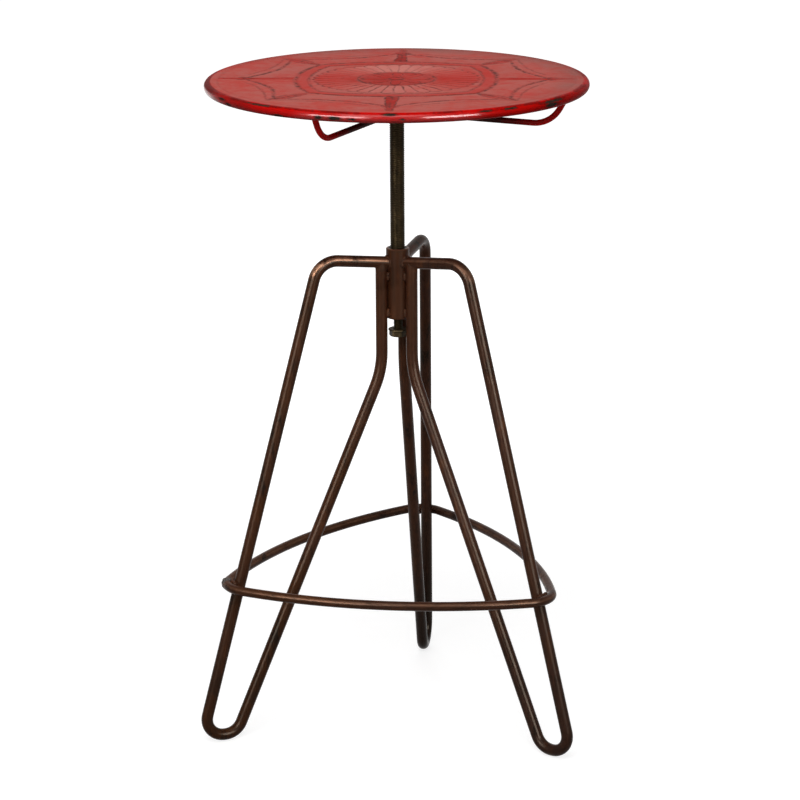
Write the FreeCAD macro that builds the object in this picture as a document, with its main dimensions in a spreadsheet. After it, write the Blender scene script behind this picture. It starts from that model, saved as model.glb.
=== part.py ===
import FreeCAD, Part
import math
import os
import re

import Sketcher
from FreeCAD import Placement, Rotation, Vector

# A wine table: a round pressed-steel top with a rolled rim sits on a screw spindle,
# which turns up and down in a sleeve carried by three hairpin legs and a foot ring.
# Millimetres. +Z is up, the origin is on the floor under the spindle, and the back leg stands on +Y.

SIZES = [
    ("top_radius", 203.0, "outer radius of the top, over its rolled rim"),
    ("top_height", 714.0, "floor to the top's upper face, as photographed"),
    ("rim_radius", 5.25, "outside radius of the rolled rim's section"),
    ("sheet", 1.2, "thickness of the top's steel sheet"),
    ("plate_radius", 60.0, "mounting plate under the middle of the top"),
    ("plate_thickness", 3.0, "mounting plate"),
    ("hub_radius", 13.0, "tube that holds the spindle's upper end"),
    ("hub_skirt", 4.0, "hub below the axis of the brace arms"),
    ("arm_rod", 6.4, "diameter of the brace arms"),
    ("arm_drop", 35.3, "axis of the brace arms below the top's upper face"),
    ("arm_corner", 176.3, "radius at which a brace arm turns up to the rim"),
    ("arm_aim", 4.6, "a brace arm's upper end inside the middle of the rolled rim"),
    ("arm_bend", 34.7, "bend radius of a brace arm on its axis"),
    ("arm_bearing", 72.5, "bearing of the first brace arm"),
    ("spindle_radius", 7.95, "outside radius of the spindle's thread"),
    ("spindle_foot", 457.0, "floor to the spindle's lower end"),
    ("tapped_depth", 24.0, "tapped hole in the spindle's lower end"),
    ("bolt_shank", 10.0, "diameter of the stop bolt"),
    ("bolt_grip", 20.0, "stop bolt's shank inside the spindle"),
    ("bolt_head_width", 17.0, "across the flats of the stop bolt's head"),
    ("bolt_head_height", 6.4, "stop bolt's head"),
    ("washer_radius", 10.5, "stop washer"),
    ("washer_thickness", 2.0, "stop washer"),
    ("washer_drop", 14.0, "stop washer's upper face below the spindle's end"),
    ("sleeve_radius", 12.5, "outside of the sleeve"),
    ("sleeve_bore", 10.0, "inside radius of the sleeve between its bushes"),
    ("sleeve_foot", 455.0, "floor to the sleeve's lower end"),
    ("sleeve_length", 77.0, "sleeve"),
    ("upper_bush_length", 25.0, "threaded bush in the sleeve's upper end"),
    ("lower_bush_length", 20.0, "threaded bush in the sleeve's lower end"),
    ("edge_break", 0.8, "chamfer on turned edges"),
    ("leg_rod", 12.7, "diameter of the legs' rod"),
    ("bar_height", 517.0, "floor to a leg's bar where it meets the sleeve, on its axis"),
    ("shoulder_reach", 90.1, "radius of a leg's shoulder corner"),
    ("shoulder_height", 526.0, "floor to a leg's shoulder corner"),
    ("shoulder_bend", 25.0, "bend radius of the shoulder on its axis"),
    ("foot_reach", 232.5, "radius at which the outer rod's line meets the foot"),
    ("foot_gap", 40.1, "outer rod's line to inner rod's line at the foot"),
    ("foot_flat", 1.8, "straight stretch between the foot's two bends"),
    ("kink_height", 399.0, "floor to the bend where the inner rod turns up beside the sleeve"),
    ("kink_bend", 95.0, "bend radius of the kink on its axis"),
    ("riser_gap", 1.0, "room for the weld between the riser's end and the bar"),
    ("back_leg_set", -11.5, "angle by which the back leg's hub end is set round from its foot"),
    ("ring_rod", 10.0, "diameter of the foot ring's rod"),
    ("ring_height", 175.6, "floor to the foot ring's axis"),
    ("ring_side", 138.4, "foot ring's radius at the middle of a side"),
    ("ring_corner_bend", 29.7, "bend radius of the foot ring's corners on its axis"),
    ("weld_gap", 0.1, "gap that a weld fills"),
    ("running_gap", 0.05, "radial clearance of the thread and of the turning fits"),
    ("press_gap", 0.02, "radial clearance of the pressed bushes"),
    ("washer_gap", 0.3, "radial clearance of the loose washer"),
    ("wire_gap", 0.3, "rim wire inside the rolled rim"),
]
LEGS = ("leg_back", "leg_left", "leg_right")
BACK_BEARING = 90.0
LEG_BEARINGS = {label: BACK_BEARING + number * 360 / len(LEGS) for number, label in enumerate(LEGS)}
ARM_COUNT = 4
RING_FITTINGS = 4
UP = Vector(0, 0, 1)

doc = FreeCAD.newDocument("WineTable")
sizes = doc.addObject("Spreadsheet::Sheet", "sizes")
for row, (alias, value, note) in enumerate(SIZES, start=1):
    sizes.set(f"A{row}", alias)
    sizes.set(f"B{row}", str(value))
    sizes.set(f"C{row}", note)
    sizes.setAlias(f"B{row}", alias)
doc.recompute()
size = {alias: float(sizes.get(alias)) for alias, _, _ in SIZES}


def bound(text):
    """An expression on the sheet's cells, written with bare aliases."""
    return re.sub("[a-z_]+", lambda word: f"sizes.{word[0]}" if word[0] in size else word[0], text)


def amount(text):
    """The number that such an expression gives."""
    return float(sizes.evalExpression(bound(text)))


def bind(feature, **settings):
    """Binds a feature's properties to expressions on the sheet."""
    for name, text in settings.items():
        feature.setExpression(name, bound(text))


def raise_by(feature, text):
    """Lifts a feature along Z by an expression on the sheet."""
    feature.setExpression("Placement.Base.z", bound(text))


def new_sketch(body, role, name):
    """A sketch on one of the body's own origin planes."""
    sketch = body.newObject("Sketcher::SketchObject", name)
    plane = next(plane for plane in body.Origin.OriginFeatures if plane.Role == role)
    sketch.AttachmentSupport = [(plane, "")]
    sketch.MapMode = "FlatFace"
    return sketch


def dimension(sketch, kind, first, text):
    """A driving dimension bound to the sheet. first holds the geometry and point numbers."""
    number = sketch.addConstraint(Sketcher.Constraint(kind, *first, amount(text)))
    sketch.setExpression(f"Constraints[{number}]", bound(text))


def place_point(sketch, geometry, point, radius, height):
    """Fixes a profile point at a radius from the axis and a height, each an expression."""
    if radius == "0":
        sketch.addConstraint(Sketcher.Constraint("PointOnObject", geometry, point, -2))
    else:
        dimension(sketch, "DistanceX", (-1, 1, geometry, point), radius)
    dimension(sketch, "DistanceY", (-1, 1, geometry, point), height)


def revolve(body, sketch, name):
    """A full turn of a profile about its vertical axis."""
    turn = body.newObject("PartDesign::Revolution", name)
    turn.Profile = sketch
    turn.ReferenceAxis = (sketch, ["V_Axis"])
    turn.Angle = 360


def turned(label, corners):
    """A piece turned about Z from a closed half profile of (radius, height) corners."""
    body = doc.addObject("PartDesign::Body", label)
    sketch = new_sketch(body, "XZ_Plane", label + "_profile")
    points = [Vector(amount(radius), amount(height), 0) for radius, height in corners]
    for number, point in enumerate(points):
        following = (number + 1) % len(points)
        sketch.addGeometry(Part.LineSegment(point, points[following]))
    for number, (radius, height) in enumerate(corners):
        following = (number + 1) % len(points)
        sketch.addConstraint(Sketcher.Constraint("Coincident", number, 2, following, 1))
        place_point(sketch, number, 1, radius, height)
    revolve(body, sketch, label + "_turning")


def tube_profile(inner, outer, low, high):
    """The half profile of a tube whose outer edges are broken."""
    return [
        (inner, low),
        (f"{outer} - edge_break", low),
        (outer, f"{low} + edge_break"),
        (outer, f"{high} - edge_break"),
        (f"{outer} - edge_break", high),
        (inner, high),
    ]


def pressed_top():
    """The flat sheet and its rim, rolled three quarters of a turn round the rim wire."""
    body = doc.addObject("PartDesign::Body", "tabletop")
    sketch = new_sketch(body, "XZ_Plane", "tabletop_profile")
    roll_radius = "top_radius - rim_radius"
    top, outer, thick = amount("top_height"), amount("rim_radius"), amount("sheet")
    middle = Vector(amount(roll_radius), top - outer, 0)
    crown = Vector(middle.x, top, 0)
    crown_inside = Vector(middle.x, top - thick, 0)
    lip = Vector(middle.x - outer, middle.y, 0)
    lip_inside = Vector(middle.x - outer + thick, middle.y, 0)
    centre = Vector(0, top, 0)
    centre_below = Vector(0, top - thick, 0)
    axis_edge, underside, inner_roll, lip_edge, outer_roll, face = range(6)
    sketch.addGeometry(Part.LineSegment(centre, centre_below))
    sketch.addGeometry(Part.LineSegment(centre_below, crown_inside))
    sketch.addGeometry(Part.ArcOfCircle(Part.Circle(middle, UP, outer - thick), -math.pi, math.pi / 2))
    sketch.addGeometry(Part.LineSegment(lip_inside, lip))
    sketch.addGeometry(Part.ArcOfCircle(Part.Circle(middle, UP, outer), -math.pi, math.pi / 2))
    sketch.addGeometry(Part.LineSegment(crown, centre))
    joins = [
        (axis_edge, 2, underside, 1),
        (underside, 2, inner_roll, 2),
        (inner_roll, 1, lip_edge, 1),
        (lip_edge, 2, outer_roll, 1),
        (outer_roll, 2, face, 1),
        (face, 2, axis_edge, 1),
        (inner_roll, 3, outer_roll, 3),
    ]
    for join in joins:
        sketch.addConstraint(Sketcher.Constraint("Coincident", *join))
    for end in (1, 2):
        sketch.addConstraint(Sketcher.Constraint("PointOnObject", axis_edge, end, -2))
    for line in (underside, face):
        sketch.addConstraint(Sketcher.Constraint("Horizontal", line))
    for arc in (inner_roll, outer_roll):
        dimension(sketch, "DistanceX", (-1, 1, arc, 2), roll_radius)
    roll_height = "top_height - rim_radius"
    place_point(sketch, outer_roll, 3, roll_radius, roll_height)
    place_point(sketch, lip_edge, 1, f"{roll_radius} - rim_radius + sheet", roll_height)
    place_point(sketch, lip_edge, 2, f"{roll_radius} - rim_radius", roll_height)
    revolve(body, sketch, "tabletop_pressing")


def rim_wire():
    """The wire that the rim is rolled round."""
    wire = doc.addObject("Part::Torus", "rim_wire")
    bind(wire, Radius1="top_radius - rim_radius", Radius2="rim_radius - sheet - wire_gap")
    raise_by(wire, "top_height - rim_radius")


def brace_arm(label, bearing):
    """A wire that runs out from the hub and turns up to the rim, coped at both ends."""
    body = doc.addObject("PartDesign::Body", label)
    level = "top_height - arm_drop"
    inside_hub = "hub_radius / 2"
    roll_radius = "top_radius - rim_radius"
    roll_height = "top_height - rim_radius"
    aim = f"{roll_radius} - arm_aim"
    start = Vector(amount(inside_hub), amount(level), 0)
    corner = Vector(amount("arm_corner"), amount(level), 0)
    rim = Vector(amount(aim), amount(roll_height), 0)
    lift = math.atan2(rim.y - corner.y, rim.x - corner.x)
    reach = size["arm_bend"] * math.tan(lift / 2)
    bend_start = corner - Vector(reach, 0, 0)
    bend_end = corner + Vector(math.cos(lift), math.sin(lift), 0) * reach
    bend_middle = bend_start + Vector(0, size["arm_bend"], 0)
    path = new_sketch(body, "XZ_Plane", label + "_path")
    circle = Part.Circle(bend_middle, UP, size["arm_bend"])
    path.addGeometry(Part.LineSegment(start, bend_start))
    path.addGeometry(Part.ArcOfCircle(circle, -math.pi / 2, lift - math.pi / 2))
    path.addGeometry(Part.LineSegment(bend_end, rim))
    path.addGeometry(Part.LineSegment(bend_start, corner), True)
    path.addGeometry(Part.LineSegment(corner, bend_end), True)
    run, bend, rise, run_on, rise_on = range(5)
    path.addConstraint(Sketcher.Constraint("Tangent", run, 2, bend, 1))
    path.addConstraint(Sketcher.Constraint("Tangent", bend, 2, rise, 1))
    path.addConstraint(Sketcher.Constraint("Horizontal", run))
    path.addConstraint(Sketcher.Constraint("Coincident", run_on, 1, run, 2))
    path.addConstraint(Sketcher.Constraint("Horizontal", run_on))
    path.addConstraint(Sketcher.Constraint("Coincident", rise_on, 1, run_on, 2))
    path.addConstraint(Sketcher.Constraint("Coincident", rise_on, 2, rise, 1))
    path.addConstraint(Sketcher.Constraint("Parallel", rise_on, rise))
    place_point(path, run, 1, inside_hub, level)
    place_point(path, rise, 2, aim, roll_height)
    dimension(path, "DistanceX", (-1, 1, run_on, 2), "arm_corner")
    dimension(path, "Radius", (bend,), "arm_bend")
    section = new_sketch(body, "YZ_Plane", label + "_section")
    section.setExpression("AttachmentOffset.Base.z", bound(inside_hub))
    section.addGeometry(Part.Circle(Vector(0, start.y, 0), UP, size["arm_rod"] / 2))
    place_point(section, 0, 3, "0", level)
    dimension(section, "Radius", (0,), "arm_rod / 2")
    rod = body.newObject("PartDesign::AdditivePipe", label + "_rod")
    rod.Profile = section
    rod.Spine = (path, ["Edge1", "Edge2", "Edge3"])
    doc.recompute()
    hub_cope = body.newObject("PartDesign::SubtractiveCylinder", label + "_hub_cope")
    bind(hub_cope, Radius="hub_radius + weld_gap", Height="2 * arm_rod")
    raise_by(hub_cope, f"{level} - arm_rod")
    doc.recompute()
    rim_cope = body.newObject("PartDesign::SubtractiveTorus", label + "_rim_cope")
    bind(rim_cope, Radius1=roll_radius, Radius2="rim_radius + weld_gap")
    raise_by(rim_cope, roll_height)
    body.Placement = Placement(Vector(), Rotation(UP, bearing))


def stop_bolt():
    """A hex bolt that holds the stop washer under the spindle."""
    washer_top = "spindle_foot - washer_drop"
    head_top = f"{washer_top} - washer_thickness - running_gap"
    head = doc.addObject("Part::Prism", "stop_bolt_head")
    head.Polygon = 6
    bind(head, Circumradius="bolt_head_width / sqrt(3)", Height="bolt_head_height")
    raise_by(head, f"{head_top} - bolt_head_height")
    shank = doc.addObject("Part::Cylinder", "stop_bolt_shank")
    bind(
        shank,
        Radius="bolt_shank / 2",
        Height="bolt_head_height + running_gap + washer_thickness + washer_drop + bolt_grip",
    )
    raise_by(shank, f"{head_top} - bolt_head_height")
    bolt = doc.addObject("Part::Fuse", "stop_bolt")
    bolt.Base = head
    bolt.Tool = shank


def polar(radius, height, bearing):
    """The point at a radius from Z, a height and a bearing in degrees."""
    angle = math.radians(bearing)
    return Vector(radius * math.cos(angle), radius * math.sin(angle), height)


def bent_wire(corners, bends):
    """A path of straight runs through the corners, with a tangent arc of the given radius at each inner one."""
    edges = []
    last = corners[0]
    for before, corner, after, radius in zip(corners, corners[1:], corners[2:], bends):
        back = (before - corner).normalize()
        on = (after - corner).normalize()
        half = back.getAngle(on) / 2
        start = corner + back * (radius / math.tan(half))
        end = corner + on * (radius / math.tan(half))
        middle = corner + (back + on).normalize() * (radius / math.sin(half) - radius)
        edges.append(Part.LineSegment(last, start).toShape())
        edges.append(Part.Arc(start, middle, end).toShape())
        last = end
    edges.append(Part.LineSegment(last, corners[-1]).toShape())
    return Part.Wire(edges)


def swept_rod(name, path_shape, diameter):
    """A round rod along a path, as a sweep of a bound circle."""
    path = doc.addObject("Part::Feature", name + "_path")
    path.Shape = path_shape
    first = path_shape.OrderedEdges[0]
    start = first.FirstParameter
    section = doc.addObject("Part::Circle", name + "_section")
    bind(section, Radius=f"{diameter} / 2")
    section.Placement = Placement(first.valueAt(start), Rotation(UP, first.tangentAt(start)))
    rod = doc.addObject("Part::Sweep", name)
    rod.Sections = [section]
    rod.Spine = (path, [f"Edge{number + 1}" for number in range(len(path_shape.Edges))])
    rod.Solid = True
    return rod


def outer_rod_slope():
    """How far a leg's outer rod runs outwards for each millimetre that it drops."""
    drop = size["shoulder_height"] - size["leg_rod"] / 2
    return (size["foot_reach"] - size["shoulder_reach"]) / drop


def leg(label, bearing, hub_set):
    """One rod: bar, shoulder, outer rod, foot, inner rod, kink, and a riser beside the sleeve. Gives the outer rod."""
    rod = size["leg_rod"] / 2
    hub = bearing + hub_set
    riser_radius = size["sleeve_radius"] + size["weld_gap"] + rod
    bar_rise = (size["shoulder_height"] - size["bar_height"]) / (size["shoulder_reach"] - size["sleeve_radius"])
    bar_start = size["sleeve_radius"] / 2
    bar_start_height = size["bar_height"] - bar_rise * (size["sleeve_radius"] - bar_start)
    bar_underside = bar_start_height - rod * math.hypot(1, bar_rise)
    riser_top = bar_underside - size["riser_gap"]
    foot_inner = size["foot_reach"] - size["foot_gap"]
    outer_lean = math.atan(outer_rod_slope())
    inner_lean = math.atan((foot_inner - riser_radius) / (size["kink_height"] - rod))
    outer_turn = math.pi / 2 + outer_lean
    inner_turn = math.pi / 2 - inner_lean
    foot_bend = (size["foot_gap"] - size["foot_flat"]) / (math.tan(outer_turn / 2) + math.tan(inner_turn / 2))
    corners = [
        polar(bar_start, bar_start_height, hub),
        polar(size["shoulder_reach"], size["shoulder_height"], hub),
        polar(size["foot_reach"], rod, bearing),
        polar(foot_inner, rod, bearing),
        polar(riser_radius, size["kink_height"], hub),
        polar(riser_radius, riser_top, hub),
    ]
    bends = [size["shoulder_bend"], foot_bend, foot_bend, size["kink_bend"]]
    bent = swept_rod(label + "_rod", bent_wire(corners, bends), "leg_rod")
    cope = doc.addObject("Part::Cylinder", label + "_cope")
    bind(cope, Radius="sleeve_radius + weld_gap", Height="2 * leg_rod")
    cope.Placement = Placement(Vector(0, 0, riser_top + size["riser_gap"] / 2), Rotation())
    coped = doc.addObject("Part::Cut", label)
    coped.Base = bent
    coped.Tool = cope
    _, shoulder, foot, *_ = corners
    return Part.LineSegment(shoulder, foot).toShape()


def ring_path(corner_radius):
    """A closed path of a corner at each leg and a bowed side between, each arc tangent to the next."""
    half_share = 180 / len(LEG_BEARINGS)
    bend = size["ring_corner_bend"]
    bend_centre = corner_radius - bend
    along = bend_centre * math.cos(math.radians(half_share))
    across = bend_centre * math.sin(math.radians(half_share))
    inset = size["ring_side"] - bend
    side_centre = (along ** 2 + across ** 2 - inset ** 2) / (2 * (inset - along))
    side_radius = size["ring_side"] + side_centre
    half_side = math.degrees(math.atan2(across, along + side_centre))
    half_corner = half_share - half_side
    edges = []
    for bearing in sorted(LEG_BEARINGS.values()):
        corner_middle = polar(bend_centre, size["ring_height"], bearing)
        side_bearing = bearing + half_share
        side_middle = polar(side_centre, size["ring_height"], side_bearing + 180)
        corner = [corner_middle + polar(bend, 0, bearing + turn) for turn in (-half_corner, 0, half_corner)]
        side = [side_middle + polar(side_radius, 0, side_bearing + turn) for turn in (0, half_side)]
        edges.append(Part.Arc(*corner).toShape())
        edges.append(Part.Arc(corner[-1], *side).toShape())
    return Part.Wire(Part.__sortEdges__(edges))


def foot_ring(outer_rods):
    """The ring round the outside of the legs, let out until it clears the one that stands furthest out."""
    touch = (size["leg_rod"] + size["ring_rod"]) / 2 + size["weld_gap"]
    corner_radius = size["foot_reach"] - outer_rod_slope() * (size["ring_height"] - size["leg_rod"] / 2) + touch
    for _ in range(RING_FITTINGS):
        path = ring_path(corner_radius)
        corner_radius += touch - min(path.distToShape(rod)[0] for rod in outer_rods)
    swept_rod("foot_ring", ring_path(corner_radius), "ring_rod")


pressed_top()
rim_wire()
plate_top = "top_height - sheet - weld_gap"
plate_foot = f"{plate_top} - plate_thickness"
turned("mounting_plate", [
    ("0", plate_foot),
    ("plate_radius - edge_break", plate_foot),
    ("plate_radius", f"{plate_foot} + edge_break"),
    ("plate_radius", plate_top),
    ("0", plate_top),
])
hub_top = f"{plate_foot} - weld_gap"
turned("top_hub", tube_profile(
    "spindle_radius + running_gap", "hub_radius", "top_height - arm_drop - hub_skirt", hub_top,
))
arms = [f"brace_arm_{number + 1}" for number in range(ARM_COUNT)]
for number, arm in enumerate(arms):
    brace_arm(arm, size["arm_bearing"] + number * 360 / ARM_COUNT)
turned("spindle", [
    ("bolt_shank / 2 + running_gap", "spindle_foot"),
    ("spindle_radius - edge_break", "spindle_foot"),
    ("spindle_radius", "spindle_foot + edge_break"),
    ("spindle_radius", f"{hub_top} - edge_break"),
    ("spindle_radius - edge_break", hub_top),
    ("0", hub_top),
    ("0", "spindle_foot + tapped_depth"),
    ("bolt_shank / 2 + running_gap", "spindle_foot + tapped_depth"),
])
stop_bolt()
washer_foot = "spindle_foot - washer_drop - washer_thickness"
turned("stop_washer", [
    ("bolt_shank / 2 + washer_gap", washer_foot),
    ("washer_radius", washer_foot),
    ("washer_radius", "spindle_foot - washer_drop"),
    ("bolt_shank / 2 + washer_gap", "spindle_foot - washer_drop"),
])
sleeve_top = "sleeve_foot + sleeve_length"
turned("sleeve", tube_profile("sleeve_bore", "sleeve_radius", "sleeve_foot", sleeve_top))
thread_radius = "spindle_radius + running_gap"
bush_radius = "sleeve_bore - press_gap"
turned("upper_bush", [
    (thread_radius, f"{sleeve_top} - upper_bush_length"),
    (bush_radius, f"{sleeve_top} - upper_bush_length"),
    (bush_radius, sleeve_top),
    (thread_radius, sleeve_top),
])
turned("lower_bush", [
    (thread_radius, "sleeve_foot"),
    (bush_radius, "sleeve_foot"),
    (bush_radius, "sleeve_foot + lower_bush_length"),
    (thread_radius, "sleeve_foot + lower_bush_length"),
])
hub_sets = {"leg_back": size["back_leg_set"]}
foot_ring([leg(label, bearing, hub_sets.get(label, 0.0)) for label, bearing in LEG_BEARINGS.items()])
doc.recompute()

NODES = [
    "tabletop", "rim_wire", "mounting_plate", "top_hub", *arms, "spindle", "stop_bolt", "stop_washer",
    "sleeve", "upper_bush", "lower_bush", *LEGS, "foot_ring",
]
for item in doc.Objects:
    if {"Invalid", "Error"} & set(item.State):
        raise RuntimeError(f"{item.Label} failed: {item.State}")
os.makedirs("parts", exist_ok=True)
for label in NODES:
    shape = doc.getObject(label).Shape
    if shape.isNull() or not shape.isValid() or len(shape.Solids) != 1:
        raise RuntimeError(f"{label} is not one valid solid")
    shape.exportStep(f"parts/{label}.step")
    print(f"{label}: {shape.Volume / 1000:.2f} cm3")
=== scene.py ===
"""The looks of a small round wine table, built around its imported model.

A red enamelled top, pressed with a rosette, screws up and down on a spindle
over three hairpin legs of bent rod.
"""

import math
from functools import partialmethod, reduce

import bmesh
import bpy
import numpy as np
from bpy.props import FloatProperty, FloatVectorProperty, IntProperty, PointerProperty
from mathutils import Matrix, Vector


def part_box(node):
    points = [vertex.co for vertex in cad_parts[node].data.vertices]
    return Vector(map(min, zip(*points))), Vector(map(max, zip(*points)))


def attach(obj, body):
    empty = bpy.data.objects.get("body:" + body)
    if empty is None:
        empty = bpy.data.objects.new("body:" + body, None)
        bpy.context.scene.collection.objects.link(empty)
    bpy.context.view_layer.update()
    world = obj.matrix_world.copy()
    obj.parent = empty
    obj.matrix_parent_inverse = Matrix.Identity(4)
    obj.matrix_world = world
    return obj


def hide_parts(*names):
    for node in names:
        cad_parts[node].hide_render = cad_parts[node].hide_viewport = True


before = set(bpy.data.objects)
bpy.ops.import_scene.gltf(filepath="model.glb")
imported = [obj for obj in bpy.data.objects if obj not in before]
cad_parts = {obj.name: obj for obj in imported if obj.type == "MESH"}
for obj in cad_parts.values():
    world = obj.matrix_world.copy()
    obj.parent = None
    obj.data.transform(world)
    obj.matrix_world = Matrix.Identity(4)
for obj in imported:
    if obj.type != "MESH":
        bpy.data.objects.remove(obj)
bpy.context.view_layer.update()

bl_info = {
    "name": "Wine Table",
    "version": (1, 0, 0),
    "blender": (4, 5, 0),
    "location": "3D View > Sidebar > Wine Table",
    "description": "Dresses the wine table: enamelled top, screw, lacquered rods, welds and a small studio",
    "category": "Object",
}

MM = 0.001
FULL_TURN = 2 * math.pi
EIGHTH_TURN = math.pi / 4
WHITE = (1.0, 1.0, 1.0)

TOP_LOW, TOP_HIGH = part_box("tabletop")
SPINDLE_LOW, SPINDLE_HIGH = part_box("spindle")
BOLT_LOW, BOLT_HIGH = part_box("stop_bolt")
WASHER_LOW, WASHER_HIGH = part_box("stop_washer")
RING_LOW, RING_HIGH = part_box("foot_ring")
HUB_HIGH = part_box("top_hub")[1]
SLEEVE_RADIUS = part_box("sleeve")[1].x

TOP_RADIUS = min(TOP_HIGH.x, TOP_HIGH.y, -TOP_LOW.x, -TOP_LOW.y)
TOP_HEIGHT = TOP_HIGH.z
ROLL_RADIUS = (TOP_HIGH.z - TOP_LOW.z) / 2
ROLL_REACH = TOP_RADIUS - ROLL_RADIUS
ROLL_HEIGHT = TOP_HEIGHT - ROLL_RADIUS
SHEET = 1.2 * MM
INMOST_RING = 3 * MM

# How far out each stretch of the face's mesh ends, as a share of the top's radius, and its rings.
FACE_STRETCHES = [(0.172, 26), (0.53, 40), (0.94, 48)]
LAST_RINGS = 8

# Sizes of the rosette, as shares of the top's radius.
LINE = 0.0085
FLOWER_EYE = 0.036
FLOWER_REACH = 0.185
FAN_START = 0.200
FAN_END = 0.398
PETAL_TIP = 0.034
FRAME_INSIDE = 0.452
FRAME_OUTSIDE = 0.522
FRAME_POINT = 0.080
BAND_WIDTH = 0.044
KNOT_OUT = 0.800
KNOT_LENGTH = 0.060
KNOT_WIDTH = 0.040
LEAF_START = 0.60
LEAF_LENGTH = 0.28
LEAF_WIDTH = 0.034
LEAF_BOW = 11.2
BORDER = 0.930
PETAL_TURN = math.pi / 40
ROSETTE_BEARING = math.radians(5.6)

# Bearing and tilt of each chip on the rolled rim, with half its length and height, all in degrees.
RIM_CHIPS = [
    (234, 60, 6, 17),
    (242, -42, 2.4, 18),
    (255.5, -12, 1.4, 20),
    (260, -12, 2.2, 22),
    (265.2, -15, 1.3, 14),
    (276, 52, 2.2, 24),
    (279.5, -9, 0.8, 12),
    (304.5, 40, 2.8, 13),
    (312.2, 40, 2.6, 15),
    (329.5, 38, 5.8, 20),
    (328.8, -4, 2.8, 32),
    (220, -21, 1.8, 16),
    (216, 18, 2.4, 14),
    (18, 40, 3, 18),
    (52, 55, 1.8, 22),
    (71, 20, 2.4, 16),
    (104, 48, 4.2, 18),
    (133, -8, 1.6, 18),
    (158, 36, 3.4, 20),
    (186, 10, 2, 15),
]
FAR_FROM_CHIPS = -3.0

BOLT_SHANK = 5.0 * MM
BOLT_ROOM = 0.05 * MM
WASHER_ROOM = 0.05 * MM
WASHER_HOLE = 5.3 * MM

# Bearing of each leg's foot, and how far round from it the hub end is set, in degrees.
LEGS = {"leg_back": (90.0, -11.5), "leg_left": (210.0, 0.0), "leg_right": (330.0, 0.0)}
LEG_ROD = 6.35 * MM
BAR_START = Vector((6.25 * MM, 0, 516.28 * MM))
SHOULDER = Vector((90.1 * MM, 0, 526 * MM))
RISER_REACH = 18.95 * MM
RISER_TOP = 508.9 * MM
RING_ROD = (RING_HIGH.z - RING_LOW.z) / 2
RING_HEIGHT = (RING_HIGH.z + RING_LOW.z) / 2
RING_REACH = 198.3 * MM
RING_BEND = 29.7 * MM
RING_JOINT = 192.0
ARMS = {"brace_arm_1": 72.5, "brace_arm_2": 162.5, "brace_arm_3": 252.5, "brace_arm_4": 342.5}
ARM_ROD = 3.2 * MM
ARM_HEIGHT = 678.7 * MM
ARM_CORNER = 176.3 * MM
ARM_AIM = 4.6 * MM

# Lowest and highest point of the two runs of weld beside each riser, in millimetres.
RISER_RUNS = [(457.5, 467), (498, 507)]
RISER_RUN_REACH = 13.1 * MM
RISER_RUN_SIDE = 4.5 * MM
# Rise and inset of the ring's two beads on a leg, in millimetres, and their share of the full width.
RING_BEADS = [(3.9, 4.9, 1.05), (-4.1, 3.9, 0.85)]
# Shift and lift of the lumps that close the ring, in millimetres, and their share of the full width.
RING_LUMPS = [(-3.4, -0.5, 1.0), (-0.4, 0.6, 1.25), (2.8, -0.2, 1.05)]

CAMERA_EYE = Vector((0.4383, -3.1118, 1.2568))
CAMERA_YAW = -0.1394
CAMERA_PITCH = 0.2773
CAMERA_ROLL = -0.0056
SENSOR_MM = 36.0
FLOOR_REACH = 14.0


def tint(label, about, value):
    """A colour that a user may change."""
    return FloatVectorProperty(name=label, description=about, subtype="COLOR", default=value)


def span(label, about, value, **limits):
    """A length that a user may change."""
    return FloatProperty(name=label, description=about, unit="LENGTH", default=value, **limits)


def watts(label, about, value):
    """A lamp's power that a user may change."""
    return FloatProperty(name=label, description=about, unit="POWER", default=value)


class TopSettings(bpy.types.PropertyGroup):
    """The enamelled top."""

    enamel: tint("Enamel", "Red of the glossy enamel", (0.57, 0.003, 0.002))
    face_red: tint("Face red", "Dulled red of the face", (0.45, 0.042, 0.031))
    worn_enamel: tint("Worn enamel", "Paler red where the face is worn most", (0.415, 0.104, 0.086))
    # Also used for the painted shade on the rim's front ends, lower half and upper left end.
    thin_enamel_and_shade: tint("Thin enamel", "Dark red at thin or bruised edges", (0.105, 0.004, 0.003))
    # Also used for the pale painted highlight low on the rim's left end.
    rubbed_enamel_and_highlight: tint("Rubbed enamel", "Palest red, on rubbed petals", (0.58, 0.200, 0.165))
    deep_red: tint("Deep red", "Red of the rosette's bands and fields", (0.44, 0.015, 0.009))
    line_brown: tint("Line brown", "Dirt in the rosette's lines", (0.085, 0.018, 0.014))
    dust: tint("Dust", "Grey film on the far side of the face", (0.080, 0.088, 0.076))
    bare_iron: tint("Bare iron", "Dark iron in the chips", (0.024, 0.019, 0.014))
    rust: tint("Rust", "Rust on the iron in the chips", (0.066, 0.030, 0.021))
    wire_dark: tint("Dark wire", "Dull streaks of the rim's wire", (0.22, 0.21, 0.20))
    wire_pale: tint("Pale wire", "Bright streaks of the rim's wire", (0.38, 0.37, 0.35))
    relief: span("Relief", "Depth of the pressed rosette", 0.45 * MM, min=0.0, max=1 * MM)
    chip_depth: span("Chip depth", "Depth of the chips in the rim", 0.30 * MM)
    columns: IntProperty(name="Columns", description="Columns of its mesh", default=480, min=96, max=1440)


class ScrewSettings(bpy.types.PropertyGroup):
    """The spindle, its stop bolt and its washer."""

    steel: tint("Steel", "Colour of the dull steel", (0.033, 0.022, 0.009))
    oil: tint("Old oil", "Steel under a film of oil", (0.0170, 0.0112, 0.0045))
    crest: tint("Crest", "Steel rubbed clean on the thread's crests", (0.078, 0.058, 0.032))
    pitch: span("Pitch", "Rise of one turn", 2 * MM)
    depth: span("Thread depth", "Crest to root", 0.6 * MM)
    bolt_pitch: span("Bolt pitch", "Rise of one turn", 1.5 * MM)
    bolt_depth: span("Bolt thread", "Crest to root", 0.8 * MM)


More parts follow.
